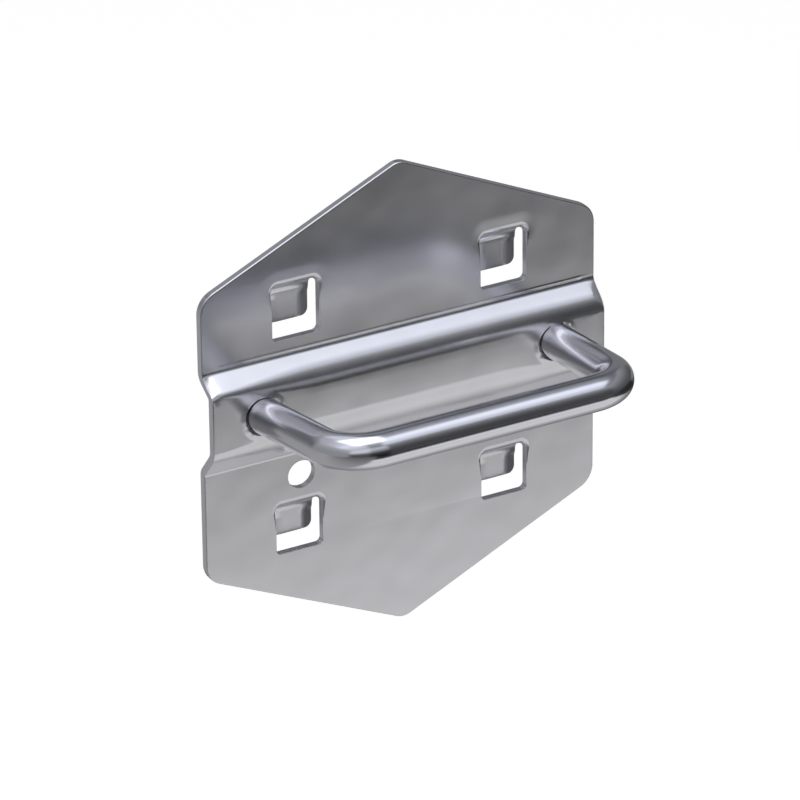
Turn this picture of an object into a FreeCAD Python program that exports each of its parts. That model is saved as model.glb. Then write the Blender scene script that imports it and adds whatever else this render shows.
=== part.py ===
import FreeCAD, Part
import math
import os

from FreeCAD import Vector

# A tool bow for a perforated steel panel: a stamped sheet plate with four lanced hooks
# carries one round rod bent into a U. Millimetres and degrees.
# The back of the plate lies on the panel at y = 0, the front faces -Y, +Z is up, and the
# origin is the centre of the four hooks.

# Panel grid
HOOK_PITCH = 38.0            # between hook centres, across and up
HOOK_GAP = 2.0               # room for the panel between plate and hook tab

# Plate outline, measured from the hook rows and columns
SHEET = 1.25                 # sheet thickness
SIDE_MARGIN = 17.0           # hook centre to the plate's side edge
SHOULDER_RISE = 5.65         # hook row to the corner where the slanted edge starts
APEX_RISE = 22.0             # hook row to the top and bottom points
SHOULDER_RADIUS = 4.0
APEX_RADIUS = 3.0
EDGE_ROLL = 0.25             # soft edge that the blanking die leaves on the front

# Raised band that stiffens the plate, on its back face
BAND_DEPTH = 3.5             # how far the band stands forward of the plate
BAND_TOP = 8.9               # where the raised flat ends above
BAND_BOTTOM = -1.0           # where the raised flat ends below
UPPER_SLOPE_RUN = 2.35       # height of the steep slope above the flat
LOWER_SLOPE_RUN = 4.2        # height of the gentle slope below the flat
CREST_BEND = 2.25            # inside radius where the flat meets a slope
FOOT_BEND = 0.9              # inside radius where a slope meets the plate

# Windows and the hooks lanced out of them, measured from each hook centre
WINDOW_WIDTH = 8.5
WINDOW_FLOOR = -4.25         # lower edge of the window
WINDOW_RADIUS = 0.9
LIP_FADE = 2.6               # length over which the rolled upper lip fades down the window's sides
LIP_CORNER = 0.5             # roll that is left where the window's side begins
LIP_END = 0.15               # roll that is left at the end
UPPER_NECK = 4.75            # underside of the two upper hooks' necks where they leave the plate's back
LOWER_NECK = 3.85            # the same on the two lower hooks
NECK_SLANT = 25.0            # the necks drop towards the back, so that the panel is wedged tight
TAB_TIP = -2.5               # lower end of the tab
TAB_SIDE_GAP = 0.25          # window side to tab
TAB_TIP_RADIUS = 1.2
ROOT_BEND = 0.2              # inside radius where the neck leaves the plate
THROAT_BEND = 2.0            # inside radius where the neck turns down into the tab

# Round hole for a locking screw
LOCK_HOLE_DIAMETER = 4.9
LOCK_HOLE_RISE = 9.2         # above the lower hook row
LOCK_HOLE_INSET = 0.5        # from the left hook column towards the middle

# Bow of bent round rod
ROD_DIAMETER = 6.0
BOW_SPAN = 53.7              # between leg axes where they leave the band
BOW_HEIGHT = 4.3             # leg axes above the origin where they leave the band
BOW_LENGTH = 25.0            # along a leg, from the band's front to the bar's axis
BOW_TILT = 7.0               # the legs rise towards the front
BOW_TOE_IN = 2.5             # each leg leans towards the middle
BOW_BEND = 4.0               # inside radius of the two rod bends
ROD_HOLE_CLEARANCE = 0.3     # round the rod in the band's hole
ROD_HOLE_DROP = 0.1          # the hole sits this much below the leg's axis

# Staked head that holds each rod end behind the band
STAKE_OVERLAP = 1.2          # head rim beyond the hole
STAKE_THICKNESS = 1.3
STAKE_CROWN = 0.6            # rounding of the head's rim

WINDOW_HALF = WINDOW_WIDTH / 2
TAB_HALF = WINDOW_HALF - TAB_SIDE_GAP
NECK_HALF = WINDOW_HALF - WINDOW_RADIUS   # the neck leaves the window between its rounded corners
LIP_ROLL = ROOT_BEND + SHEET              # the front rolls into the window as the neck's bend does
LIP_STEPS = 3                             # sections that the roll passes through round a corner
SLANT = math.radians(NECK_SLANT)
HALF_WIDTH = HOOK_PITCH / 2 + SIDE_MARGIN
SHOULDER_HEIGHT = HOOK_PITCH / 2 + SHOULDER_RISE
APEX_HEIGHT = HOOK_PITCH / 2 + APEX_RISE
ROD_RADIUS = ROD_DIAMETER / 2
ROD_HOLE_RADIUS = ROD_RADIUS + ROD_HOLE_CLEARANCE
BAND_FRONT = -(BAND_DEPTH + SHEET)
TOOL_MARGIN = 5.0            # how far cutting tools run past the sheet

# Direction of the left leg as it leaves the band; the right leg mirrors it
TILT = math.radians(BOW_TILT)
TOE_IN = math.radians(BOW_TOE_IN)
RISE_DIRECTION = Vector(0, -math.cos(TILT), math.sin(TILT))
LEG_DIRECTION = RISE_DIRECTION * math.cos(TOE_IN) + Vector(math.sin(TOE_IN), 0, 0)
LEG_BASE = Vector(-BOW_SPAN / 2, BAND_FRONT, BOW_HEIGHT)


def mirrored(vector):
    """The same point or direction on the other side of the middle plane."""
    return Vector(-vector.x, vector.y, vector.z)


def polygon_face(points):
    return Part.Face(Part.makePolygon(list(points) + [points[0]]))


def edge_line(edge, axis):
    """True if the edge is straight and runs along the axis."""
    if not isinstance(edge.Curve, Part.Line):
        return False
    return abs(edge.tangentAt(edge.FirstParameter).dot(axis)) > 0.999999


def edges_at(shape, axis, *spots):
    """Straight edges along the axis that pass through any of the spots."""
    found = []
    for edge in shape.Edges:
        if not edge_line(edge, axis):
            continue
        start = edge.Vertexes[0].Point
        for spot in spots:
            across = (start - spot) - axis * (start - spot).dot(axis)
            if across.Length < 1e-4:
                found.append(edge)
    return found


def band_corners():
    """Corners of the sheet's section, back face upwards and front face downwards."""
    upper_angle = math.atan2(BAND_DEPTH, UPPER_SLOPE_RUN)
    lower_angle = math.atan2(BAND_DEPTH, LOWER_SLOPE_RUN)
    upper_shift = SHEET * math.tan(upper_angle / 2)
    lower_shift = SHEET * math.tan(lower_angle / 2)
    back = {
        "lower_foot": Vector(0, 0, BAND_BOTTOM - LOWER_SLOPE_RUN),
        "lower_crest": Vector(0, -BAND_DEPTH, BAND_BOTTOM),
        "upper_crest": Vector(0, -BAND_DEPTH, BAND_TOP),
        "upper_foot": Vector(0, 0, BAND_TOP + UPPER_SLOPE_RUN),
    }
    front = {}
    for name, corner in back.items():
        shift = upper_shift if name.startswith("upper") else -lower_shift
        front[name] = corner + Vector(0, -SHEET, shift)
    return back, front


def folded_sheet():
    """Sheet with its raised band, bent from a flat strip as wide as the plate."""
    back, front = band_corners()
    order = ("lower_foot", "lower_crest", "upper_crest", "upper_foot")
    reach = APEX_HEIGHT + TOOL_MARGIN
    section = [Vector(0, 0, -reach)]
    section += [back[name] for name in order]
    section += [Vector(0, 0, reach), Vector(0, -SHEET, reach)]
    section += [front[name] for name in reversed(order)]
    section += [Vector(0, -SHEET, -reach)]
    strip = polygon_face(section).extrude(Vector(2 * HALF_WIDTH, 0, 0))
    strip.translate(Vector(-HALF_WIDTH, 0, 0))

    across = Vector(1, 0, 0)
    for level in ("lower", "upper"):
        crest, foot = level + "_crest", level + "_foot"
        bends = (
            (CREST_BEND, back[crest]),
            (CREST_BEND + SHEET, front[crest]),
            (FOOT_BEND, front[foot]),
            (FOOT_BEND + SHEET, back[foot]),
        )
        for radius, corner in bends:
            strip = strip.makeFillet(radius, edges_at(strip, across, corner))
    return strip


def outline_tool():
    """Prism of the six-sided outline with its rounded corners."""
    corners = [
        Vector(-HALF_WIDTH, 0, -SHOULDER_HEIGHT),
        Vector(0, 0, -APEX_HEIGHT),
        Vector(HALF_WIDTH, 0, -SHOULDER_HEIGHT),
        Vector(HALF_WIDTH, 0, SHOULDER_HEIGHT),
        Vector(0, 0, APEX_HEIGHT),
        Vector(-HALF_WIDTH, 0, SHOULDER_HEIGHT),
    ]
    depth = BAND_DEPTH + SHEET + 2 * TOOL_MARGIN
    prism = polygon_face(corners).extrude(Vector(0, -depth, 0))
    prism.translate(Vector(0, TOOL_MARGIN, 0))
    along = Vector(0, 1, 0)
    apexes = edges_at(prism, along, corners[1], corners[4])
    prism = prism.makeFillet(APEX_RADIUS, apexes)
    shoulders = edges_at(prism, along, corners[0], corners[2], corners[3], corners[5])
    return prism.makeFillet(SHOULDER_RADIUS, shoulders)


def root_line(neck):
    """Height at which the front starts to roll back into a neck."""
    front_corner = neck + SHEET * math.tan(SLANT)
    return front_corner + LIP_ROLL * math.tan((math.pi / 2 - SLANT) / 2)


def window_top(neck):
    """Upper edge of a window, so that its rolled lip and the neck's bend are one surface."""
    return root_line(neck) - LIP_ROLL


def window_tool(neck):
    """Rounded block that cuts one window through the flat sheet."""
    block = Part.makeBox(
        WINDOW_WIDTH,
        SHEET + 2 * TOOL_MARGIN,
        window_top(neck) - WINDOW_FLOOR,
        Vector(-WINDOW_HALF, -SHEET - TOOL_MARGIN, WINDOW_FLOOR),
    )
    upright = [edge for edge in block.Edges if edge_line(edge, Vector(0, 1, 0))]
    return block.makeFillet(WINDOW_RADIUS, upright)


def roll_wire(edge, outwards, radius):
    """Outline of what a rolled lip takes off the front, from the window's edge outwards."""
    backwards = Vector(0, 1, 0)
    front = edge + outwards * radius
    centre = front + backwards * radius
    diagonal = (outwards + backwards).normalize()
    inside = edge - outwards * TOOL_MARGIN / 10
    corners = [
        edge + backwards * radius,
        inside + backwards * radius,
        inside - backwards * TOOL_MARGIN,
        front - backwards * TOOL_MARGIN,
        front,
    ]
    arc = Part.Arc(front, centre - diagonal * radius, corners[0]).toShape()
    sides = [Part.makeLine(a, b) for a, b in zip(corners, corners[1:])]
    return Part.Wire(sides + [arc])


def lip_tools(neck):
    """Rolls the front into the window along its top; the roll fades round the corners and down the sides."""
    turn = window_top(neck) - WINDOW_RADIUS
    tools = []
    for side in (-1, 1):
        corner = Vector(side * NECK_HALF, -SHEET, turn)
        turned = []
        for step in range(LIP_STEPS + 1):
            share = step / LIP_STEPS
            angle = share * math.pi / 2
            outwards = Vector(side * math.sin(angle), 0, math.cos(angle))
            radius = LIP_ROLL + (LIP_CORNER - LIP_ROLL) * share
            turned.append(roll_wire(corner + outwards * WINDOW_RADIUS, outwards, radius))
        outwards = Vector(side, 0, 0)
        beside = corner + outwards * WINDOW_RADIUS
        below = beside - Vector(0, 0, LIP_FADE)
        side_wires = [roll_wire(beside, outwards, LIP_CORNER), roll_wire(below, outwards, LIP_END)]
        tools.append(Part.makeLoft(turned, True, False))
        tools.append(Part.makeLoft(side_wires, True, True))
    return tools


def hook_section(neck):
    """Section of the sheet from the plate through the slanted neck to the tab's tip."""
    tab_back = HOOK_GAP + SHEET
    drop = math.tan(SLANT)
    upper_side = neck + SHEET / math.cos(SLANT)
    root_top = root_line(neck) + ROOT_BEND
    corners = {
        "root_front": Vector(0, -SHEET, neck + SHEET * drop),
        "throat": Vector(0, HOOK_GAP, neck - HOOK_GAP * drop),
        "tip_front": Vector(0, HOOK_GAP, TAB_TIP),
        "tip_back": Vector(0, tab_back, TAB_TIP),
        "heel": Vector(0, tab_back, upper_side - tab_back * drop),
        "nape": Vector(0, 0, upper_side),
        "plate_back": Vector(0, 0, root_top),
        "plate_front": Vector(0, -SHEET, root_top),
    }
    return corners


def hook_outline(neck):
    """Prism of the hook's outline: a narrow neck with rounded shoulders, and a rounded tip."""
    top = root_line(neck) + ROOT_BEND
    shoulder = window_top(neck) - WINDOW_RADIUS
    corner_radius = WINDOW_RADIUS - TAB_SIDE_GAP
    depth = HOOK_GAP + 2 * SHEET + 2 * TOOL_MARGIN
    front = Vector(0, -SHEET - TOOL_MARGIN, 0)

    def block(half_width, low, high):
        size = (2 * half_width, depth, high - low)
        return Part.makeBox(*size, front + Vector(-half_width, 0, low))

    tab = block(TAB_HALF, TAB_TIP, shoulder + corner_radius)
    along = Vector(0, 1, 0)
    tips = [Vector(side * TAB_HALF, 0, TAB_TIP) for side in (-1, 1)]
    shoulders = [Vector(side * TAB_HALF, 0, shoulder + corner_radius) for side in (-1, 1)]
    tab = tab.makeFillet(TAB_TIP_RADIUS, edges_at(tab, along, *tips))
    tab = tab.makeFillet(corner_radius, edges_at(tab, along, *shoulders))
    return tab.fuse(block(NECK_HALF, shoulder, top))


def hook(neck):
    """Strip that leaves the plate above its window, slants back through the panel and turns down."""
    corners = hook_section(neck)
    strip = polygon_face(list(corners.values())).extrude(Vector(2 * TAB_HALF, 0, 0))
    strip.translate(Vector(-TAB_HALF, 0, 0))
    bends = (
        (LIP_ROLL, "root_front"),
        (ROOT_BEND, "nape"),
        (THROAT_BEND, "throat"),
        (THROAT_BEND + SHEET, "heel"),
    )
    for radius, name in bends:
        strip = strip.makeFillet(radius, edges_at(strip, Vector(1, 0, 0), corners[name]))
    return strip.common(hook_outline(neck))


def root_tool(neck):
    """Clears the plate where a neck's root takes its place."""
    low = window_top(neck) - WINDOW_RADIUS
    high = root_line(neck) + ROOT_BEND
    return Part.makeBox(
        2 * NECK_HALF,
        SHEET + 2 * TOOL_MARGIN,
        high - low,
        Vector(-NECK_HALF, -SHEET - TOOL_MARGIN, low),
    )


def hooks():
    """Centre and neck height of each hook."""
    half = HOOK_PITCH / 2
    rows = ((half, UPPER_NECK), (-half, LOWER_NECK))
    return [(Vector(x, 0, z), neck) for z, neck in rows for x in (-half, half)]


def leg_lines():
    return ((LEG_BASE, LEG_DIRECTION), (mirrored(LEG_BASE), mirrored(LEG_DIRECTION)))


def middle_of_band(base, direction):
    """Where a leg's axis crosses the middle of the raised sheet."""
    return base - direction * (SHEET / 2 / -direction.y)


def rod_hole_centre(base, direction):
    """Centre of a rod's hole, halfway through the raised sheet."""
    return middle_of_band(base, direction) - Vector(0, 0, ROD_HOLE_DROP)


def rod_hole_tool(base, direction):
    """Punch for a rod's hole, square to the sheet."""
    centre = rod_hole_centre(base, direction)
    start = Vector(centre.x, BAND_FRONT - TOOL_MARGIN, centre.z)
    return Part.makeCylinder(ROD_HOLE_RADIUS, SHEET + 2 * TOOL_MARGIN, start, Vector(0, 1, 0))


def lock_hole_tool():
    centre = Vector(
        -HOOK_PITCH / 2 + LOCK_HOLE_INSET,
        -SHEET - TOOL_MARGIN,
        -HOOK_PITCH / 2 + LOCK_HOLE_RISE,
    )
    return Part.makeCylinder(LOCK_HOLE_DIAMETER / 2, SHEET + 2 * TOOL_MARGIN, centre, Vector(0, 1, 0))


def rolled_front_edge(plate):
    """Soft edge round the outline on the front, where the die drew the sheet in."""
    rim = []
    for edge in plate.Edges:
        box = edge.BoundBox
        on_front = abs(box.YMin + SHEET) < 1e-4 and abs(box.YMax + SHEET) < 1e-4
        outside = max(abs(box.ZMin), abs(box.ZMax)) > SHOULDER_HEIGHT
        if on_front and outside:
            rim.append(edge)
    return plate.makeFillet(EDGE_ROLL, rim)


def lance_hook(plate, centre, neck):
    """Cuts one window with its rolled lip, and sets the hook in it."""
    for tool in [window_tool(neck)] + lip_tools(neck) + [root_tool(neck)]:
        tool.translate(centre)
        plate = plate.cut(tool)
    tab = hook(neck)
    tab.translate(centre)
    return plate.fuse(tab)


def back_plate():
    plate = folded_sheet().common(outline_tool())
    plate = rolled_front_edge(plate)
    for centre, neck in hooks():
        plate = lance_hook(plate, centre, neck)
    plate = plate.cut(lock_hole_tool())
    for base, direction in leg_lines():
        plate = plate.cut(rod_hole_tool(base, direction))
    return plate.removeSplitter()


def bow_path():
    """Axis of the rod: leg, bend, bar, bend and leg, all in one tilted plane."""
    bend = BOW_BEND + ROD_RADIUS
    corner = LEG_BASE + LEG_DIRECTION * (BOW_LENGTH / math.cos(TOE_IN))
    turn = math.pi / 2 - TOE_IN
    setback = bend * math.tan(turn / 2)
    bend_start = corner - LEG_DIRECTION * setback
    bend_end = corner + Vector(setback, 0, 0)
    inward = (bend_start + bend_end) * 0.5 - corner
    centre_distance = bend / math.cos(turn / 2)
    centre = corner + inward.normalize() * centre_distance
    bend_middle = centre + (corner - centre).normalize() * bend
    root = LEG_BASE - LEG_DIRECTION * rod_tail()
    points = (root, bend_start, bend_middle, bend_end)
    start, left_in, left_mid, left_out = points
    end, right_out, right_mid, right_in = [mirrored(point) for point in points]
    edges = [
        Part.makeLine(start, left_in),
        Part.Arc(left_in, left_mid, left_out).toShape(),
        Part.makeLine(left_out, right_in),
        Part.Arc(right_in, right_mid, right_out).toShape(),
        Part.makeLine(right_out, end),
    ]
    return Part.Wire(edges)


def rod_tail():
    """Length of rod behind the band's front, which ends inside the staked head."""
    return (SHEET + STAKE_THICKNESS / 2) / math.cos(TILT)


def staked_head(base, direction):
    """Crowned head, upset from the rod end, that bears on the back of the band."""
    centre = rod_hole_centre(base, direction)
    seat = Vector(centre.x, -BAND_DEPTH, centre.z)
    radius = ROD_HOLE_RADIUS + STAKE_OVERLAP
    head = Part.makeCylinder(radius, STAKE_THICKNESS, seat, Vector(0, 1, 0))
    rear_rim = []
    for edge in head.Edges:
        box = edge.BoundBox
        if box.YMin > seat.y + STAKE_THICKNESS - 1e-4:
            rear_rim.append(edge)
    return head.makeFillet(STAKE_CROWN, rear_rim)


def tool_bow():
    path = bow_path()
    start = path.Edges[0]
    profile_edge = Part.Edge(
        Part.Circle(start.Vertexes[0].Point, start.tangentAt(start.FirstParameter), ROD_RADIUS)
    )
    rod = path.makePipeShell([Part.Wire([profile_edge])], True, True)
    for base, direction in leg_lines():
        rod = rod.fuse(staked_head(base, direction))
    return rod.removeSplitter()


def main():
    os.makedirs("parts", exist_ok=True)
    parts = {
        "back_plate": back_plate(),
        "tool_bow": tool_bow(),
    }
    for name, shape in parts.items():
        if not shape.isValid() or len(shape.Solids) != 1:
            raise RuntimeError(name + " is not one valid solid")
        shape.exportStep(os.path.join("parts", name + ".step"))
        box = shape.BoundBox
        print(name, "volume", round(shape.Volume, 1), "box", box)


main()
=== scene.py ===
"""Looks of a tool bow for a perforated steel panel: a stamped zinc-plated plate that
carries one bent round rod. Everything is in metres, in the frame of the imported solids."""

import math

import bpy
from bpy.props import FloatProperty, FloatVectorProperty, PointerProperty
from bpy.types import Operator, Panel, PropertyGroup
from mathutils import Matrix, Vector


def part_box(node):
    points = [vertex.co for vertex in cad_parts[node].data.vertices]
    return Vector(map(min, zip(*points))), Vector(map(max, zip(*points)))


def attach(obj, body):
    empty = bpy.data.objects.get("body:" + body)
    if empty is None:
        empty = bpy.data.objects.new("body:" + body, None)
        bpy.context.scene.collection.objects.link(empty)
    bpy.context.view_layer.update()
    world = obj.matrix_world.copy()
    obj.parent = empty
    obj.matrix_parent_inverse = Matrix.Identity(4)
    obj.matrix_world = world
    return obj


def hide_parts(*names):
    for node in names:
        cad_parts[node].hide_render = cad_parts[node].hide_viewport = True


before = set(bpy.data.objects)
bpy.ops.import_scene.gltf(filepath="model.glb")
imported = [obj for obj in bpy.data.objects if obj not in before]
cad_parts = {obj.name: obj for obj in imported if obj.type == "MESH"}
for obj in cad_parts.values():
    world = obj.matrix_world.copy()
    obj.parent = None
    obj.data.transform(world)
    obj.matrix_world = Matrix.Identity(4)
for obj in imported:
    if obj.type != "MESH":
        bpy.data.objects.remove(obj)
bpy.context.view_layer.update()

bl_info = {
    "name": "Tool Bow for a Perforated Panel",
    "version": (1, 0, 0),
    "blender": (4, 5, 0),
    "location": "3D View > Sidebar > Tool Bow",
    "description": "Models and finishes a zinc-plated tool bow on its stamped plate",
    "category": "Mesh",
}

MM = 0.001

# Plate, as in its solid
HOOK_PITCH = 38.0 * MM
WINDOW_HALF = 4.25 * MM
WINDOW_TOP = 24.1 * MM              # upper edge of the two upper windows
WINDOW_CORNER = 0.9 * MM
TAB_HALF = 4.0 * MM
FOOT_SETBACK = 0.48 * MM            # front of the upper fold's bend to the flat plate

# Rod and its two holes, as in the solids
ROD_DIAMETER = 6.0 * MM
BOW_SPAN = 53.7 * MM
BOW_HEIGHT = 4.3 * MM
ROD_HOLE_CLEARANCE = 0.3 * MM
ROD_HOLE_DROP = 0.1 * MM            # the hole sits this much below the leg's axis
ROD_HOLE_X = BOW_SPAN / 2
ROD_HOLE_Z = BOW_HEIGHT - ROD_HOLE_DROP
ROD_HOLE_RADIUS = ROD_DIAMETER / 2 + ROD_HOLE_CLEARANCE

# Fineness of the meshes
COLUMNS_IN_FADE = 16                # steps in which a crest changes along the plate
COLUMNS_IN_ROLL = 6                 # steps in which the upper slope is drawn down at its ends
ROWS_ON_SLOPE = 6
ROWS_ON_RIDGE = 4
ROWS_ON_TAB = 5
RING_POINTS = 72                    # points round the rod
RINGS_ON_LEG = 10
RINGS_ON_BEND = 28
RINGS_ON_BAR = 16

# Where the die's marks lie
RIDGE_INSET = 2.2 * MM              # the fine ridge ends this far from the plate's sides
RIDGE_RUNOUT = 1.0 * MM
BAND_MARGIN = 1.5 * MM              # the columns run this far past the band
STRIP_MARGIN = 0.1 * MM             # faces are taken this far past the strip that is worked
LAST_COLUMN = 1.01                  # share of a rolled width that takes in its last column

# How near a point has to be
SAME_POINT = 0.002 * MM             # points this near each other are joined
SAME_RING_POINT = 0.001 * MM
ON_PLANE = 0.01 * MM                # a point this near a flat face lies on it
ON_ARC = 0.03 * MM                  # a point this near a crest's arc lies on it
PAST_ARC = 0.02                     # radians that it may lie past the arc's ends
ON_RIM = 0.05 * MM                  # a point this near a hole's rim lies on it
ON_FRONT = 0.3 * MM                 # a point this near the front of the slope lies on it

# Faces that show the sheared edge's finish, by the parts of their normals
CUT_STEEPNESS = 0.35                # less than this towards the front or back
FACING_UP = 0.75                    # and less than this upwards

# Room round the object, in metres
ROOM_HALF_WIDTH = 2.4
ROOM_HALF_DEPTH = 1.9
ROOM_TOP = 1.9
FLOOR_REACH = 6.0
CARD_LIFT = 0.01                    # the cards lie this far above the floor
TABLE_LEFT = -0.1                   # sides of the middle card on the floor
TABLE_RIGHT = 0.6
FRONT_SPLITS = (-0.5, 0.75)         # where the cards in front meet
REAR_SPLIT = 0.7                    # where the two cards at the rear meet
OVERHEAD_SPLITS = (-0.5, 0.5, 1.6)  # where the cards overhead meet
LAMP_PLACE = (-0.1, 0.0, 1.5)
LAMP_SIZE = 1.2
LAMP_POWER = 5.0

# Brightness and tint of the room
PAPER = 0.8
PAPER_GLOW = 0.45                   # makes the floor read as white
ROOM_LIGHT = 0.6                    # what the room gives the object, where it shows as 1
WHITE = "#ffffff"
COOL_WHITE = "#f0f4ff"
PALE_WHITE = "#f8faff"

SENSOR_WIDTH = 36.0                 # millimetres
NEAREST_SEEN = 0.01
FARTHEST_SEEN = 50.0


def srgb(hex_colour):
    """Linear RGB of an sRGB hex colour."""
    text = hex_colour.lstrip("#")
    channels = [int(text[i:i + 2], 16) / 255 for i in (0, 2, 4)]
    return tuple(
        c / 12.92 if c <= 0.04045 else ((c + 0.055) / 1.055) ** 2.4
        for c in channels
    )


def add_node(tree, kind, settings=None, links=None):
    """Adds a node, with its settings and socket values, and what is linked into it."""
    node = tree.nodes.new(kind)
    for name, value in (settings or {}).items():
        if hasattr(node, str(name)):
            setattr(node, name, value)
        else:
            node.inputs[name].default_value = value
    for socket, source in (links or {}).items():
        tree.links.new(source, node.inputs[socket])
    return node


def new_material(name):
    material = bpy.data.materials.new(name)
    material.use_nodes = True
    material.node_tree.nodes.clear()
    return material


def noise(tree, place, size, detail):
    """Soft blotches of about the given size, as a height from 0 to 1."""
    node = add_node(tree, "ShaderNodeTexNoise", {"Scale": 1 / size, "Detail": detail},
                    {"Vector": place})
    return node.outputs["Fac"]


def relief(tree, height, depth, strength=1.0, over=None):
    """Normals of a surface that rises by a height from 0 to 1, over an earlier relief."""
    links = {"Height": height}
    if over is not None:
        links["Normal"] = over
    node = add_node(tree, "ShaderNodeBump", {"Strength": strength, "Distance": depth}, links)
    return node.outputs["Normal"]


def spread(tree, source, low, high, start=0.0, end=1.0, kind="LINEAR"):
    """A value that goes from low to high as its source goes from start to end."""
    node = add_node(tree, "ShaderNodeMapRange", {
        "interpolation_type": kind, "From Min": start, "From Max": end,
        "To Min": low, "To Max": high}, {"Value": source})
    return node.outputs["Result"]


def reckon(tree, operation, first, second=None):
    """One step of arithmetic on a socket and a second socket or a number."""
    node = add_node(tree, "ShaderNodeMath", {"operation": operation}, {0: first})
    if isinstance(second, bpy.types.NodeSocket):
        tree.links.new(second, node.inputs[1])
    elif second is not None:
        node.inputs[1].default_value = second
    return node.outputs["Value"]


def split_place(tree, place):
    node = add_node(tree, "ShaderNodeSeparateXYZ", None, {"Vector": place})
    return node.outputs


def give_surface(tree, shader):
    add_node(tree, "ShaderNodeOutputMaterial", None, {"Surface": shader})


def beyond(tree, source, centre, reach):
    """How far a coordinate lies outside a band round a centre."""
    shifted = reckon(tree, "SUBTRACT", source, centre)
    off = reckon(tree, "ABSOLUTE", shifted)
    outside = reckon(tree, "SUBTRACT", off, reach)
    return reckon(tree, "MAXIMUM", outside, 0.0)


def away_from_spot(tree, split, centre, reach=(0.0, 0.0)):
    """Distance to a level strip round a spot of the front, the same left and right."""
    aside = reckon(tree, "ABSOLUTE", split["X"])
    flat = add_node(tree, "ShaderNodeCombineXYZ", None, {
        "X": beyond(tree, aside, centre[0], reach[0]),
        "Y": beyond(tree, split["Z"], centre[1], reach[1]),
    })
    far = add_node(tree, "ShaderNodeVectorMath", {"operation": "LENGTH"},
                   {0: flat.outputs["Vector"]})
    return far.outputs["Value"]


def drawn_in_above_windows(tree, split):
    """The sheet dips softly where the punch drew it into the upper windows."""
    half_width = 3.0 * MM
    height = 3.2 * MM
    far = away_from_spot(tree, split, (HOOK_PITCH / 2, WINDOW_TOP), (half_width, 0.0))
    return spread(tree, far, 0.0, 1.0, 0.0, height, "SMOOTHSTEP")


def pressed_round_the_rod(tree, place, split):
    """A bruised, slightly raised ring where the rod was pressed through the band."""
    width = 1.1 * MM
    far = away_from_spot(tree, split, (ROD_HOLE_X, ROD_HOLE_Z))
    ring = spread(tree, far, 1.0, 0.0, ROD_HOLE_RADIUS, ROD_HOLE_RADIUS + width, "SMOOTHSTEP")
    dents = noise(tree, place, size=1.5 * MM, detail=1.0)
    return reckon(tree, "MULTIPLY", ring, dents)


def zinc_plated_sheet_finish(settings):
    """Bright zinc on cold-rolled sheet: satin gloss that mirrors the room softly, with a faint
    blue cast, cloudy patches where the plating lies unevenly, and the slight waves of rolled sheet."""
    material = new_material("zinc_plated_cold_rolled_sheet")
    tree = material.node_tree
    place = add_node(tree, "ShaderNodeTexCoord").outputs["Object"]
    clouds = noise(tree, place, size=14 * MM, detail=3.0)
    tone = add_node(tree, "ShaderNodeValToRGB", None, {"Fac": clouds})
    thin, thick = tone.color_ramp.elements
    thin.position = 0.35
    thin.color = (*settings.sheet_shade, 1.0)
    thick.position = 0.65
    thick.color = (*settings.sheet_colour, 1.0)
    haze = spread(tree, clouds, settings.sheet_roughness * 0.9, settings.sheet_roughness * 1.1,
                  start=0.3, end=0.7)
    split = split_place(tree, place)
    waves = relief(tree, noise(tree, place, size=9 * MM, detail=1.0), depth=0.12 * MM, strength=0.5)
    dish = relief(tree, drawn_in_above_windows(tree, split), depth=0.065 * MM, over=waves)
    bruise = relief(tree, pressed_round_the_rod(tree, place, split), depth=0.14 * MM, over=dish)
    zinc = add_node(tree, "ShaderNodeBsdfPrincipled", {"Metallic": 1.0},
                    {"Base Color": tone.outputs["Color"], "Roughness": haze, "Normal": bruise})
    give_surface(tree, zinc.outputs["BSDF"])
    return material


def sheared_edge_finish(settings):
    """Zinc on a sheared edge: bright specks and fine drag lines across the sheet's thickness."""
    material = new_material("zinc_plated_sheared_edge")
    tree = material.node_tree
    place = add_node(tree, "ShaderNodeTexCoord").outputs["Object"]
    drawn = add_node(tree, "ShaderNodeMapping", {"Scale": (1.0, 0.25, 1.0)}, {"Vector": place})
    drag = noise(tree, drawn.outputs["Vector"], size=0.5 * MM, detail=3.0)
    torn = relief(tree, drag, depth=0.12 * MM, strength=0.5)
    haze = spread(tree, drag, 0.32, 0.5)
    zinc = add_node(tree, "ShaderNodeBsdfPrincipled",
                    {"Metallic": 1.0, "Base Color": (*settings.sheet_colour, 1.0)},
                    {"Roughness": haze, "Normal": torn})
    give_surface(tree, zinc.outputs["BSDF"])
    return material


def zinc_plated_rod_finish(settings):
    """Bright zinc on drawn wire: near-mirror gloss, broken by fine lengthwise drawing lines."""
    material = new_material("zinc_plated_drawn_wire")
    tree = material.node_tree
    store = add_node(tree, "ShaderNodeAttribute", {"attribute_name": "wire_place"})
    place = store.outputs["Vector"]
    drawn = add_node(tree, "ShaderNodeMapping", {"Scale": (1.0, 1.0, 0.03)}, {"Vector": place})
    lines = noise(tree, drawn.outputs["Vector"], size=0.35 * MM, detail=2.0)
    clouds = noise(tree, place, size=3.5 * MM, detail=3.0)
    mixed = reckon(tree, "MULTIPLY", lines, clouds)
    haze = spread(tree, mixed, settings.rod_roughness * 0.7, settings.rod_roughness * 1.2,
                  start=0.12, end=0.4)
    scored = relief(tree, lines, depth=0.03 * MM, strength=0.25)
    uneven = relief(tree, clouds, depth=0.1 * MM, strength=0.25, over=scored)
    zinc = add_node(tree, "ShaderNodeBsdfPrincipled",
                    {"Metallic": 1.0, "Base Color": (*settings.rod_colour, 1.0)},
                    {"Roughness": haze, "Normal": uneven})
    give_surface(tree, zinc.outputs["BSDF"])
    return material


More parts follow.
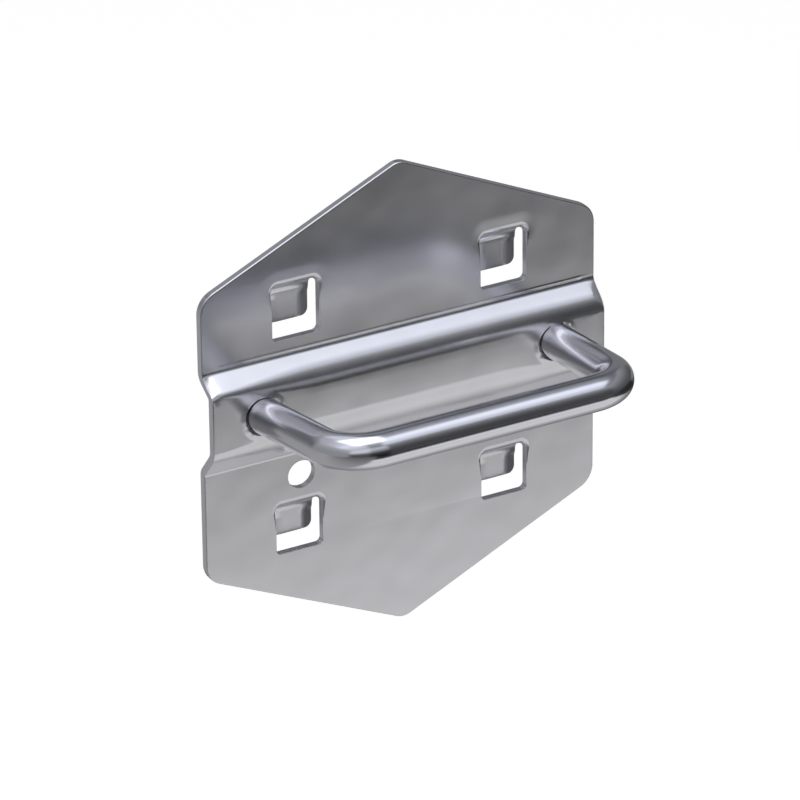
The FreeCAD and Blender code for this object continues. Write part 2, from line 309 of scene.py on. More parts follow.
def glow_along(name, axis, stops, tint):
    """A card that glows by its place along one axis; stops are metres and brightness."""
    material = new_material(name)
    tree = material.node_tree
    place = add_node(tree, "ShaderNodeTexCoord").outputs["Object"]
    first, last = stops[0][0], stops[-1][0]
    along = spread(tree, split_place(tree, place)[axis], 0.0, 1.0, first, last)
    ramp = add_node(tree, "ShaderNodeValToRGB", None, {"Fac": along})
    elements = ramp.color_ramp.elements
    elements.remove(elements[1])
    elements[0].position = 0.0
    for distance, level in stops:
        if distance > first:
            elements.new((distance - first) / (last - first))
        elements[-1].color = (*[level * channel for channel in srgb(tint)], 1.0)
    glow = add_node(tree, "ShaderNodeEmission", None, {"Color": ramp.outputs["Color"]})
    give_surface(tree, glow.outputs["Emission"])
    return material


def seen_directly(tree):
    """1 for what the camera sees, straight or in metal or glass, and 0 for light on the object."""
    rays = add_node(tree, "ShaderNodeLightPath").outputs
    straight = reckon(tree, "MAXIMUM", rays["Is Camera Ray"], rays["Is Glossy Ray"])
    return reckon(tree, "MAXIMUM", straight, rays["Is Transmission Ray"])


def white_floor_finish():
    """Matt white paper: it takes the object's shadow, and reads as white."""
    material = new_material("matt_white_paper")
    tree = material.node_tree
    lift = reckon(tree, "MULTIPLY", seen_directly(tree), PAPER_GLOW)
    paper = add_node(tree, "ShaderNodeBsdfDiffuse", {"Color": (PAPER, PAPER, PAPER, 1.0)})
    glow = add_node(tree, "ShaderNodeEmission", {"Color": (*srgb(WHITE), 1.0)}, {"Strength": lift})
    both = add_node(tree, "ShaderNodeAddShader", None,
                    {0: paper.outputs["BSDF"], 1: glow.outputs["Emission"]})
    give_surface(tree, both.outputs["Shader"])
    return material


def smooth_step(share):
    share = min(max(share, 0.0), 1.0)
    return share * share * (3.0 - 2.0 * share)


def merged_copy(node, name):
    """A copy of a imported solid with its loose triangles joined, ready for edit mode."""
    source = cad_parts[node]
    bpy.ops.object.select_all(action="DESELECT")
    source.select_set(True)
    bpy.context.view_layer.objects.active = source
    bpy.ops.object.duplicate()
    piece = bpy.context.active_object
    piece.name = name
    piece.data.name = name
    bpy.ops.mesh.customdata_custom_splitnormals_clear()
    bpy.ops.object.mode_set(mode="EDIT")
    bpy.ops.mesh.select_all(action="SELECT")
    bpy.ops.mesh.remove_doubles(threshold=SAME_POINT)
    bpy.ops.mesh.dissolve_limited(angle_limit=math.radians(0.2))
    bpy.ops.object.mode_set(mode="OBJECT")
    return piece


def select_faces(piece, wanted):
    """Leaves edit mode with only the faces selected whose vertices all pass the test."""
    bpy.ops.object.mode_set(mode="EDIT")
    bpy.ops.mesh.select_mode(type="FACE")
    bpy.ops.mesh.select_all(action="DESELECT")
    bpy.ops.object.mode_set(mode="OBJECT")
    points = [vertex.co for vertex in piece.data.vertices]
    for face in piece.data.polygons:
        face.select = all(wanted(points[index]) for index in face.vertices)


def select_edges(piece, wanted):
    """Leaves edit mode with only the edges selected whose two ends pass the test together."""
    bpy.ops.object.mode_set(mode="EDIT")
    bpy.ops.mesh.select_mode(type="EDGE")
    bpy.ops.mesh.select_all(action="DESELECT")
    bpy.ops.object.mode_set(mode="OBJECT")
    points = [vertex.co for vertex in piece.data.vertices]
    for edge in piece.data.edges:
        start, end = (points[index] for index in edge.vertices)
        edge.select = wanted(start, end)


def cut_faces(piece, wanted, point, normal):
    """Cuts the wanted faces along a plane."""
    select_faces(piece, wanted)
    bpy.ops.object.mode_set(mode="EDIT")
    bpy.ops.mesh.bisect(plane_co=point, plane_no=normal)
    bpy.ops.object.mode_set(mode="OBJECT")


def bevel_selected(width, segments):
    bpy.ops.object.mode_set(mode="EDIT")
    bpy.ops.mesh.bevel(offset=width, segments=segments, profile=0.5, clamp_overlap=True)
    bpy.ops.object.mode_set(mode="OBJECT")


def tidy_mesh(piece):
    """Joins points that fell together and drops the faces that this leaves without an area."""
    bpy.ops.object.mode_set(mode="EDIT")
    bpy.ops.mesh.select_all(action="SELECT")
    bpy.ops.mesh.remove_doubles(threshold=SAME_POINT)
    bpy.ops.mesh.dissolve_degenerate(threshold=SAME_POINT / 2)
    bpy.ops.mesh.normals_make_consistent(inside=False)
    bpy.ops.object.mode_set(mode="OBJECT")


def finish_piece(piece, material, node, smooth_angle):
    """Smooth shading, material, and the piece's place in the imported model."""
    piece.data.materials.clear()
    piece.data.materials.append(material)
    bpy.ops.object.select_all(action="DESELECT")
    piece.select_set(True)
    bpy.context.view_layer.objects.active = piece
    bpy.ops.object.shade_smooth_by_angle(angle=math.radians(smooth_angle))
    weighted = piece.modifiers.new("weighted_normals", "WEIGHTED_NORMAL")
    weighted.keep_sharp = True
    bpy.ops.object.modifier_apply(modifier=weighted.name)
    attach(piece, "root")
    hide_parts(node)


def paint_cut_edges(piece, material):
    """Gives a second material to the faces that stand square to the sheet and don't face up."""
    piece.data.materials.append(material)
    for face in piece.data.polygons:
        if abs(face.normal.y) < CUT_STEEPNESS and face.normal.z < FACING_UP:
            face.material_index = 1


class ToolBowFinish(PropertyGroup):
    sheet_colour: FloatVectorProperty(
        name="Sheet colour", description="Zinc plating on the plate",
        subtype="COLOR", size=3, min=0, max=1, default=srgb("#e8e8ec"))
    sheet_shade: FloatVectorProperty(
        name="Sheet shade", description="Zinc plating where it lies thinner",
        subtype="COLOR", size=3, min=0, max=1, default=srgb("#e0e0e4"))
    sheet_roughness: FloatProperty(
        name="Sheet roughness", description="Satin gloss of the plate",
        subtype="FACTOR", min=0, max=1, default=0.235)
    rod_colour: FloatVectorProperty(
        name="Rod colour", description="Zinc plating on the rod",
        subtype="COLOR", size=3, min=0, max=1, default=srgb("#e8e8ee"))
    rod_roughness: FloatProperty(
        name="Rod roughness", description="Gloss of the rod",
        subtype="FACTOR", min=0, max=1, default=0.195)


class ToolBowPlate(PropertyGroup):
    sheet: FloatProperty(
        name="Sheet thickness", description="Thickness of the stamped sheet",
        unit="LENGTH", default=1.25 * MM)
    band_depth: FloatProperty(
        name="Band depth", description="How far the raised band stands forward",
        unit="LENGTH", default=3.5 * MM)
    band_top: FloatProperty(
        name="Band top", description="Where the raised flat ends above, on the back",
        unit="LENGTH", default=8.9 * MM)
    band_bottom: FloatProperty(
        name="Band bottom", description="Where the raised flat ends below, on the back",
        unit="LENGTH", default=-1.0 * MM)
    upper_slope_run: FloatProperty(
        name="Upper slope", description="Height of the steep slope above the raised flat",
        unit="LENGTH", default=2.35 * MM)
    lower_slope_run: FloatProperty(
        name="Lower slope", description="Height of the gentle slope below the raised flat",
        unit="LENGTH", default=4.2 * MM)
    solid_crest: FloatProperty(
        name="Crest in the solid", description="Inside radius of both crests in the packed solid",
        unit="LENGTH", default=2.25 * MM)
    upper_crest_left: FloatProperty(
        name="Upper crest, left", description="Outside radius of the upper crest at the left side",
        unit="LENGTH", default=1.5 * MM)
    upper_crest_middle: FloatProperty(
        name="Upper crest, middle", description="Outside radius of the upper crest in the middle",
        unit="LENGTH", default=4.9 * MM)
    upper_crest_right: FloatProperty(
        name="Upper crest, right", description="Outside radius of the upper crest at the right side",
        unit="LENGTH", default=4.2 * MM)
    lower_crest_middle: FloatProperty(
        name="Lower crest, middle", description="Outside radius of the lower crest in the middle",
        unit="LENGTH", default=8.5 * MM)
    lower_crest_end: FloatProperty(
        name="Lower crest, ends", description="Outside radius of the lower crest at the sides",
        unit="LENGTH", default=3.0 * MM)
    crest_fade: FloatProperty(
        name="Crest fade", description="Distance from the side over which a crest opens out",
        unit="LENGTH", default=20.0 * MM)
    end_roll: FloatProperty(
        name="End roll", description="Width that the die drew down at the upper slope's ends",
        unit="LENGTH", default=2.0 * MM)
    end_roll_depth: FloatProperty(
        name="End roll depth", description="How far the left end of the upper slope is drawn down",
        unit="LENGTH", default=0.75 * MM)
    end_roll_right: FloatProperty(
        name="End roll, right", description="Share of the left end's depth at the right end",
        subtype="FACTOR", min=0, max=1, default=0.6)
    ridge_width: FloatProperty(
        name="Ridge width", description="Fine ridge that the die left above the fold",
        unit="LENGTH", default=0.75 * MM)
    ridge_height: FloatProperty(
        name="Ridge height", description="How far the fine ridge stands forward",
        unit="LENGTH", default=0.06 * MM)
    tab_roll: FloatProperty(
        name="Tab roll", description="Rounding of the tabs' front edges by the lancing punch",
        unit="LENGTH", default=1.05 * MM)
    tab_fall: FloatProperty(
        name="Tab fall", description="Width over which the tabs' fronts fall away to their edges",
        unit="LENGTH", default=2.6 * MM)
    tab_fall_depth: FloatProperty(
        name="Tab fall depth", description="How far the tabs' fronts fall away at their edges",
        unit="LENGTH", default=0.32 * MM)
    sill_roll: FloatProperty(
        name="Sill roll", description="Rounding of the windows' bottom edges at the front",
        unit="LENGTH", default=0.45 * MM)
    hole_roll: FloatProperty(
        name="Hole roll", description="Rounding of the rod holes' front edges",
        unit="LENGTH", default=0.22 * MM)
    hook_gap: FloatProperty(
        name="Hook gap", description="Plate's back to the tabs' front",
        unit="LENGTH", default=2.0 * MM)


class ToolBowRod(PropertyGroup):
    diameter: FloatProperty(
        name="Diameter", description="Thickness of the round rod",
        unit="LENGTH", default=ROD_DIAMETER)
    span: FloatProperty(
        name="Span", description="Between the legs' axes where they leave the band",
        unit="LENGTH", default=BOW_SPAN)
    height: FloatProperty(
        name="Height", description="Legs' axes above the middle of the hooks, at the band",
        unit="LENGTH", default=BOW_HEIGHT)
    length: FloatProperty(
        name="Length", description="Band's front to the bar's axis, along the bow",
        unit="LENGTH", default=25.0 * MM)
    inside_bend: FloatProperty(
        name="Inside bend", description="Inside radius of the two bends",
        unit="LENGTH", default=4.0 * MM)
    tilt: FloatProperty(
        name="Tilt", description="Rise of the legs towards the front",
        subtype="ANGLE", default=math.radians(7.0))
    toe_in: FloatProperty(
        name="Toe-in", description="Lean of each leg towards the middle",
        subtype="ANGLE", default=math.radians(2.5))
    head_radius: FloatProperty(
        name="Head radius", description="Staked heads behind the band",
        unit="LENGTH", default=4.5 * MM)
    head_thickness: FloatProperty(
        name="Head thickness", description="Staked heads behind the band",
        unit="LENGTH", default=1.3 * MM)
    head_crown: FloatProperty(
        name="Head crown", description="Rounding of the staked heads' rims",
        unit="LENGTH", default=0.55 * MM)


class ToolBowStage(PropertyGroup):
    floor_drop: FloatProperty(
        name="Floor drop", description="Floor below the middle of the hooks",
        unit="LENGTH", default=0.36)
    camera_distance: FloatProperty(
        name="Camera distance", description="Camera to the middle of the hooks",
        unit="LENGTH", default=0.956756)
    camera_azimuth: FloatProperty(
        name="Camera azimuth", description="Camera round the vertical, from the front",
        subtype="ANGLE", default=math.radians(-29.028))
    camera_elevation: FloatProperty(
        name="Camera elevation", description="Camera above the horizontal",
        subtype="ANGLE", default=math.radians(26.354))
    camera_roll: FloatProperty(
        name="Camera roll", description="Turn of the picture",
        subtype="ANGLE", default=math.radians(-0.598))
    camera_lens: FloatProperty(
        name="Lens", description="Focal length on a 36 mm wide sensor",
        subtype="DISTANCE_CAMERA", default=267.348)
    camera_aside: FloatProperty(
        name="Camera aside", description="Camera moved to its right, to place the object in the picture",
        unit="LENGTH", default=0.346 * MM)
    camera_lift: FloatProperty(
        name="Camera lift", description="Camera moved up, to place the object in the picture",
        unit="LENGTH", default=-1.526 * MM)


def stage_plane(name, material, corners, seen_by_camera=False):
    """A flat card through four corners, which isn't part of the object."""
    bpy.ops.object.select_all(action="DESELECT")
    bpy.ops.mesh.primitive_plane_add(size=1.0)
    card = bpy.context.active_object
    card.name = name
    for vertex, corner in zip(card.data.vertices, corners):
        vertex.co = corner
    card.data.materials.append(material)
    if not seen_by_camera:
        card.visible_camera = False
        card.visible_diffuse = False
        card.visible_shadow = False


def level_corners(start, end, half_depth, height):
    """Corners of a card that lies level from one x to another."""
    return [
        (start, -half_depth, height), (end, -half_depth, height),
        (start, half_depth, height), (end, half_depth, height),
    ]


def upright_corners(start, end, low):
    """Corners of a card that stands between two points of the room's plan, up to its top."""
    return [(*start, low), (*end, low), (*start, ROOM_TOP), (*end, ROOM_TOP)]


class TOOLBOW_OT_stage(Operator):
    """Sets up the floor, the cards, the light and the camera"""
    bl_idname = "toolbow.stage"
    bl_label = "Stage"

    def execute(self, context):
        stage = context.scene.tool_bow_stage
        floor_z = -stage.floor_drop
        stage_plane("floor", white_floor_finish(),
                    level_corners(-FLOOR_REACH, FLOOR_REACH, FLOOR_REACH, floor_z), True)
        low = floor_z + CARD_LIFT
        self.level_cards(self.table(), WHITE, low)
        self.upright_cards(self.walls(low), low)
        self.level_cards(self.ceiling(), COOL_WHITE, ROOM_TOP)
        self.light(context)
        self.camera(context, stage)
        return {"FINISHED"}

    def level_cards(self, cards, tint, height):
        """Cards below or overhead, which glow by their place from front to rear."""
        for name, start, end, stops in cards:
            stage_plane(name, glow_along(name, "Y", stops, tint),
                        level_corners(start, end, ROOM_HALF_DEPTH, height))

    def upright_cards(self, cards, low):
        """Cards round the object, which glow by their height."""
        for name, start, end, stops in cards:
            stage_plane(name, glow_along(name, "Z", stops, PALE_WHITE),
                        upright_corners(start, end, low))

    def table(self):
        """Cards just above the floor, from the bright middle to the two sides."""
        deep = ROOM_HALF_DEPTH
        return (
            ("table_card", TABLE_LEFT, TABLE_RIGHT, [
                (-deep, 0.0), (-0.71, 0.02), (-0.60, 0.44), (-0.50, 0.95), (-0.40, 0.62),
                (-0.15, 0.70), (0.0, 0.36), (0.15, 0.22), (0.4, 0.03), (0.7, 0.26), (deep, 0.30)]),
            ("left_table_card", -ROOM_HALF_WIDTH, TABLE_LEFT, [
                (-deep, 0.12), (-0.9, 0.16), (-0.4, 0.22), (0.1, 0.36), (deep, 0.30)]),
            ("right_table_card", TABLE_RIGHT, ROOM_HALF_WIDTH, [
                (-deep, 0.12), (-0.7, 0.03), (0.35, 0.02), (0.7, 0.24), (deep, 0.30)]),
        )

    def walls(self, low):
        """Three cards in front, two at the rear and one at each side."""
        high, deep, wide = ROOM_TOP, ROOM_HALF_DEPTH, ROOM_HALF_WIDTH
        inner, outer = FRONT_SPLITS
        return (
            ("left_front_card", (-wide, -deep), (inner, -deep), [
                (low, 0.08), (0.35, 0.08), (0.8, 0.66), (1.3, 0.80), (high, 0.50)]),
            ("middle_front_card", (inner, -deep), (outer, -deep), [
                (low, 0.0), (0.35, 0.05), (0.8, 0.34), (1.3, 0.62), (high, 0.30)]),
            ("right_front_card", (outer, -deep), (wide, -deep), [
                (low, 0.06), (0.5, 0.07), (1.0, 0.12), (high, 0.35)]),
            ("rear_card", (-wide, deep), (REAR_SPLIT, deep), [
                (low, 0.25), (0.3, 0.14), (0.8, 0.14), (1.1, 0.22), (1.5, 0.26), (high, 0.45)]),
            ("rear_right_card", (REAR_SPLIT, deep), (wide, deep), [
                (low, 0.20), (0.9, 0.20), (high, 0.12)]),
            ("left_card", (-wide, -deep), (-wide, deep), [
                (low, 0.30), (0.6, 0.30), (high, 0.46)]),
            ("right_card", (wide, -deep), (wide, deep), [
                (low, 0.06), (0.6, 0.14), (high, 0.34)]),
        )

    def ceiling(self):
        """Four cards overhead, side by side."""
        deep = ROOM_HALF_DEPTH
        first, second, third = OVERHEAD_SPLITS
        return (
            ("left_overhead_card", -ROOM_HALF_WIDTH, first, [
                (-deep, 0.60), (-1.0, 0.78), (-0.4, 1.0), (0.1, 0.68), (1.2, 0.50), (deep, 0.50)]),
            ("middle_overhead_card", first, second, [
                (-deep, 0.20), (-1.0, 0.42), (-0.4, 0.80), (0.1, 0.74), (1.2, 0.76), (deep, 0.80)]),
            ("right_overhead_card", second, third, [
                (-deep, 0.75), (-1.3, 0.80), (-0.9, 1.05), (-0.5, 1.15), (-0.2, 1.10), (0.05, 0.48),
                (0.3, 0.36), (0.7, 0.28), (1.2, 0.16), (deep, 0.02)]),
            ("far_right_overhead_card", third, ROOM_HALF_WIDTH, [(-deep, 0.30), (deep, 0.12)]),
        )

    def light(self, context):
        """A white room, and one soft lamp overhead."""
        world = bpy.data.worlds.new("white_room")
        world.use_nodes = True
        tree = world.node_tree
        tree.nodes.clear()
        level = spread(tree, seen_directly(tree), ROOM_LIGHT, 1.0)
        glow = add_node(tree, "ShaderNodeBackground", {"Color": (*srgb(WHITE), 1.0)},
                        {"Strength": level})
        add_node(tree, "ShaderNodeOutputWorld", None, {"Surface": glow.outputs["Background"]})
        context.scene.world = world

        bpy.ops.object.select_all(action="DESELECT")
        bpy.ops.object.light_add(type="AREA", location=LAMP_PLACE)
        lamp = context.active_object
        lamp.name = "overhead_softbox"
        lamp.data.shape = "SQUARE"
        lamp.data.size = LAMP_SIZE
        lamp.data.energy = LAMP_POWER

    def camera(self, context, stage):
        """The photo's camera, which turns round the middle of the hooks."""
        azimuth, elevation = stage.camera_azimuth, stage.camera_elevation
        back = Vector((
            math.sin(azimuth) * math.cos(elevation),
            -math.cos(azimuth) * math.cos(elevation),
            math.sin(elevation),
        ))
        level_right = (-back).cross(Vector((0.0, 0.0, 1.0))).normalized()
        level_up = level_right.cross(-back)
        turn = stage.camera_roll
        right = level_right * math.cos(turn) + level_up * math.sin(turn)
        up = level_up * math.cos(turn) - level_right * math.sin(turn)
        place = back * stage.camera_distance + right * stage.camera_aside + up * stage.camera_lift
        bpy.ops.object.camera_add()
        camera = context.active_object
        camera.name = "photo_camera"
        camera.data.sensor_width = SENSOR_WIDTH
        camera.data.lens = stage.camera_lens
        camera.data.clip_start = NEAREST_SEEN
        camera.data.clip_end = FARTHEST_SEEN
        turned = Matrix((right, up, back)).transposed().to_4x4()
        camera.matrix_world = Matrix.Translation(place) @ turned
        context.scene.camera = camera
        context.scene.view_settings.view_transform = "Standard"


class TOOLBOW_OT_plate(Operator):
    """Works the stamped plate's crests, drawn ends, fine ridge, crowned tabs and rolled edges"""
    bl_idname = "toolbow.plate"
    bl_label = "Stamped plate"

    def execute(self, context):
        plate = context.scene.tool_bow_plate
        piece = merged_copy("back_plate", "stamped_plate")
        self.half_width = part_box("back_plate")[1][0]
        self.upper_angle = math.atan2(plate.band_depth, plate.upper_slope_run)
        self.lower_angle = math.atan2(plate.band_depth, plate.lower_slope_run)
        self.add_columns(piece, plate)
        self.open_crests(piece, plate)
        self.draw_down_ends(piece, plate)
        self.press_ridge(piece, plate)
        self.crown_tabs(piece, plate)
        self.roll_tab_edges(piece, plate)
        self.roll_window_sills(piece, plate)
        self.roll_hole_edges(piece, plate)
        tidy_mesh(piece)
        settings = context.scene.tool_bow_finish
        finish_piece(piece, zinc_plated_sheet_finish(settings), "back_plate",
                     smooth_angle=32)
        paint_cut_edges(piece, sheared_edge_finish(settings))
        return {"FINISHED"}

    def add_columns(self, piece, plate):
        """Cuts the band into columns, so that its form can change along the plate."""
        low = plate.band_bottom - plate.lower_slope_run - BAND_MARGIN
        high = plate.band_top + plate.upper_slope_run + BAND_MARGIN
        columns = {0.0}
        for step in range(COLUMNS_IN_FADE):
            columns.add(self.half_width - plate.crest_fade * (1 - step / COLUMNS_IN_FADE))
        for step in range(1, COLUMNS_IN_ROLL):
            columns.add(self.half_width - plate.end_roll * step / COLUMNS_IN_ROLL)
        for x in sorted({side * column for column in columns for side in (-1, 1)}):
            cut_faces(piece, lambda point: low < point.z < high, (x, 0.0, 0.0), (1.0, 0.0, 0.0))

    def open_crests(self, piece, plate):
        """Scales each crest's arc about its own corner line, so that it stays tangent."""
        crests = (
            (plate.band_top, self.upper_angle, 1,
             plate.upper_crest_left, plate.upper_crest_middle, plate.upper_crest_right),
            (plate.band_bottom, self.lower_angle, -1,
             plate.lower_crest_end, plate.lower_crest_middle, plate.lower_crest_end),
        )
        for height, angle, side, left, middle, right in crests:
            for thickness in (plate.sheet, 0.0):
                radius = plate.solid_crest + thickness
                corner = Vector((-plate.band_depth - thickness,
                                 height + side * thickness * math.tan(angle / 2)))
                centre = corner + Vector((radius, -side * radius * math.tan(angle / 2)))
                for vertex in piece.data.vertices:
                    end = left if vertex.co.x < 0 else right
                    share = smooth_step((self.half_width - abs(vertex.co.x)) / plate.crest_fade)
                    wanted = end + (middle - end) * share - (plate.sheet - thickness)
                    place = Vector((vertex.co.y, vertex.co.z))
                    place = self.worked(place, corner, centre, radius, wanted, angle, side)
                    vertex.co.y, vertex.co.z = place

    def worked(self, place, corner, centre, radius, wanted, angle, side):
        """Where a point of the section goes when its crest's arc takes the wanted radius."""
        setback = wanted * math.tan(angle / 2)
        from_corner = place - corner
        from_centre = place - centre
        turn = math.atan2(side * from_centre.y, -from_centre.x)
        if abs(from_centre.length - radius) < ON_ARC and -PAST_ARC < turn < angle + PAST_ARC:
            return corner + from_corner * (wanted / radius)
        along_flat = -side * from_corner.y
        if abs(from_corner.x) < ON_PLANE and 0.0 < along_flat < setback:
            return corner + Vector((0.0, -side * setback))
        slope = Vector((math.sin(angle), side * math.cos(angle)))
        along_slope = from_corner.dot(slope)
        off_slope = (from_corner - slope * along_slope).length
        if off_slope < ON_PLANE and 0.0 < along_slope < setback:
            return corner + slope * setback
        return place

    def slope_frame(self, plate):
        """Front foot of the upper slope, its direction down to the crest, its normal and length."""
        lift = plate.sheet * math.tan(self.upper_angle / 2)
        foot = Vector((0.0, -plate.sheet, plate.band_top + plate.upper_slope_run + lift))
        down = Vector((0.0, -plate.band_depth, -plate.upper_slope_run))
        return foot, down.normalized(), down.cross(Vector((1.0, 0.0, 0.0))).normalized(), down.length

    def draw_down_ends(self, piece, plate):
        """Draws the front of the upper slope down towards its two ends, as the blanking die does."""
        foot, down, normal, length = self.slope_frame(plate)
        edge = self.half_width - plate.end_roll * LAST_COLUMN

        def on_end(point):
            off = (point - foot).dot(normal)
            above_crest = (point - foot).dot(down) < length
            return abs(point.x) > edge and abs(off) < ON_FRONT and above_crest

        for step in range(1, ROWS_ON_SLOPE):
            cut_faces(piece, on_end, foot + down * length * step / ROWS_ON_SLOPE, down)
        for vertex in piece.data.vertices:
            left = vertex.co.x < 0
            crest = plate.upper_crest_left if left else plate.upper_crest_right
            tangent = length - crest * math.tan(self.upper_angle / 2)
            last = tangent + crest * math.sin(self.upper_angle)
            along = (vertex.co - foot).dot(down)
            if abs(vertex.co.x) < edge or not 0.0 < along < last:
                continue
            round_crest = max(along - tangent, 0.0) / crest
            drop = crest * (1.0 - math.sqrt(1.0 - round_crest ** 2))
            if abs((vertex.co - foot).dot(normal) + drop) > ON_FRONT:
                continue
            reach = 1.0 - (self.half_width - abs(vertex.co.x)) / plate.end_roll
            depth = plate.end_roll_depth * (1.0 if left else plate.end_roll_right)
            vertex.co -= normal * depth * max(reach, 0.0) ** 2 * math.sin(math.pi * along / last)

    def press_ridge(self, piece, plate):
        """Raises the fine ridge that runs along the plate above the fold, short of its sides."""
        low = self.slope_frame(plate)[0].z + FOOT_SETBACK
        end = self.half_width - RIDGE_INSET

        def on_front(point):
            return abs(point.y + plate.sheet) < ON_PLANE and point.z > low - STRIP_MARGIN

        def on_strip(point):
            return on_front(point) and point.z < low + plate.ridge_width + STRIP_MARGIN

        for row in range(ROWS_ON_RIDGE, 0, -1):
            height = low + plate.ridge_width * row / ROWS_ON_RIDGE
            cut_faces(piece, on_front, (0.0, 0.0, height), (0.0, 0.0, 1.0))
        for x in (-end, -end + RIDGE_RUNOUT, end - RIDGE_RUNOUT, end):
            cut_faces(piece, on_strip, (x, 0.0, 0.0), (1.0, 0.0, 0.0))
        for vertex in piece.data.vertices:
            if not on_front(vertex.co):
                continue
            share = min((vertex.co.z - low) / plate.ridge_width, 1.0)
            swell = (1.0 - math.cos(2.0 * math.pi * share)) / 2.0
            fade = smooth_step((end - abs(vertex.co.x)) / RIDGE_RUNOUT)
            vertex.co.y -= plate.ridge_height * swell * fade

    def crown_tabs(self, piece, plate):
        """Lets the tabs' fronts fall away towards their sides, as the punch left them."""
        column = HOOK_PITCH / 2
        near = HOOK_PITCH / 4
        fade_height = plate.tab_fall / 2
        steps = [plate.tab_fall * step / ROWS_ON_TAB for step in range(1, ROWS_ON_TAB + 1)]

        def on_tab(point):
            return abs(point.y - plate.hook_gap) < ON_PLANE

        for row in (-1, 1):
            middle = row * HOOK_PITCH / 2
            points = [vertex.co for vertex in piece.data.vertices if on_tab(vertex.co)]
            top = max(point.z for point in points if abs(point.z - middle) < near)
            for step in steps:
                cut_faces(piece, on_tab, (0.0, 0.0, top - step / 2), (0.0, 0.0, 1.0))
                for x in (TAB_HALF - step, step - TAB_HALF):
                    for side in (-1, 1):
                        cut_faces(piece, on_tab, (side * column + x, 0.0, 0.0), (1.0, 0.0, 0.0))
            for vertex in piece.data.vertices:
                if not on_tab(vertex.co) or abs(vertex.co.z - middle) > near:
                    continue
                inside = TAB_HALF - abs(abs(vertex.co.x) - column)
                share = max(0.0, 1.0 - max(inside, 0.0) / plate.tab_fall)
                fade = smooth_step((top - vertex.co.z) / fade_height)
                vertex.co.y += plate.tab_fall_depth * share * share * fade

    def roll_tab_edges(self, piece, plate):
        """Rounds the tabs' front edges, which the lancing punch drew down."""
        def on_tab_front(start, end):
            return all(abs(point.y - plate.hook_gap) < ON_PLANE for point in (start, end))

        select_edges(piece, on_tab_front)
        bevel_selected(plate.tab_roll, segments=5)

    def roll_window_sills(self, piece, plate):
        """Rounds the bottom edge of each window, where the punch came in."""
        column = HOOK_PITCH / 2
        reach = WINDOW_CORNER + ON_PLANE

        def on_sill(start, end):
            flat = all(abs(point.y + plate.sheet) < ON_PLANE for point in (start, end))
            near = abs(abs(start.x + end.x) / 2 - column) < WINDOW_HALF + STRIP_MARGIN
            for row in (-1, 1):
                bottom = row * HOOK_PITCH / 2 - WINDOW_HALF
                if all(abs(point.z - bottom) < reach for point in (start, end)):
                    return flat and near
            return False

        select_edges(piece, on_sill)
        bevel_selected(plate.sill_roll, segments=4)

    def roll_hole_edges(self, piece, plate):
        """Rounds the front edges of the two rod holes."""
        front = -plate.band_depth - plate.sheet

        def on_rim(point):
            from_axis = math.hypot(abs(point.x) - ROD_HOLE_X, point.z - ROD_HOLE_Z)
            return abs(point.y - front) < ON_PLANE and abs(from_axis - ROD_HOLE_RADIUS) < ON_RIM

        select_edges(piece, lambda start, end: on_rim(start) and on_rim(end))
        bevel_selected(plate.hole_roll, segments=3)


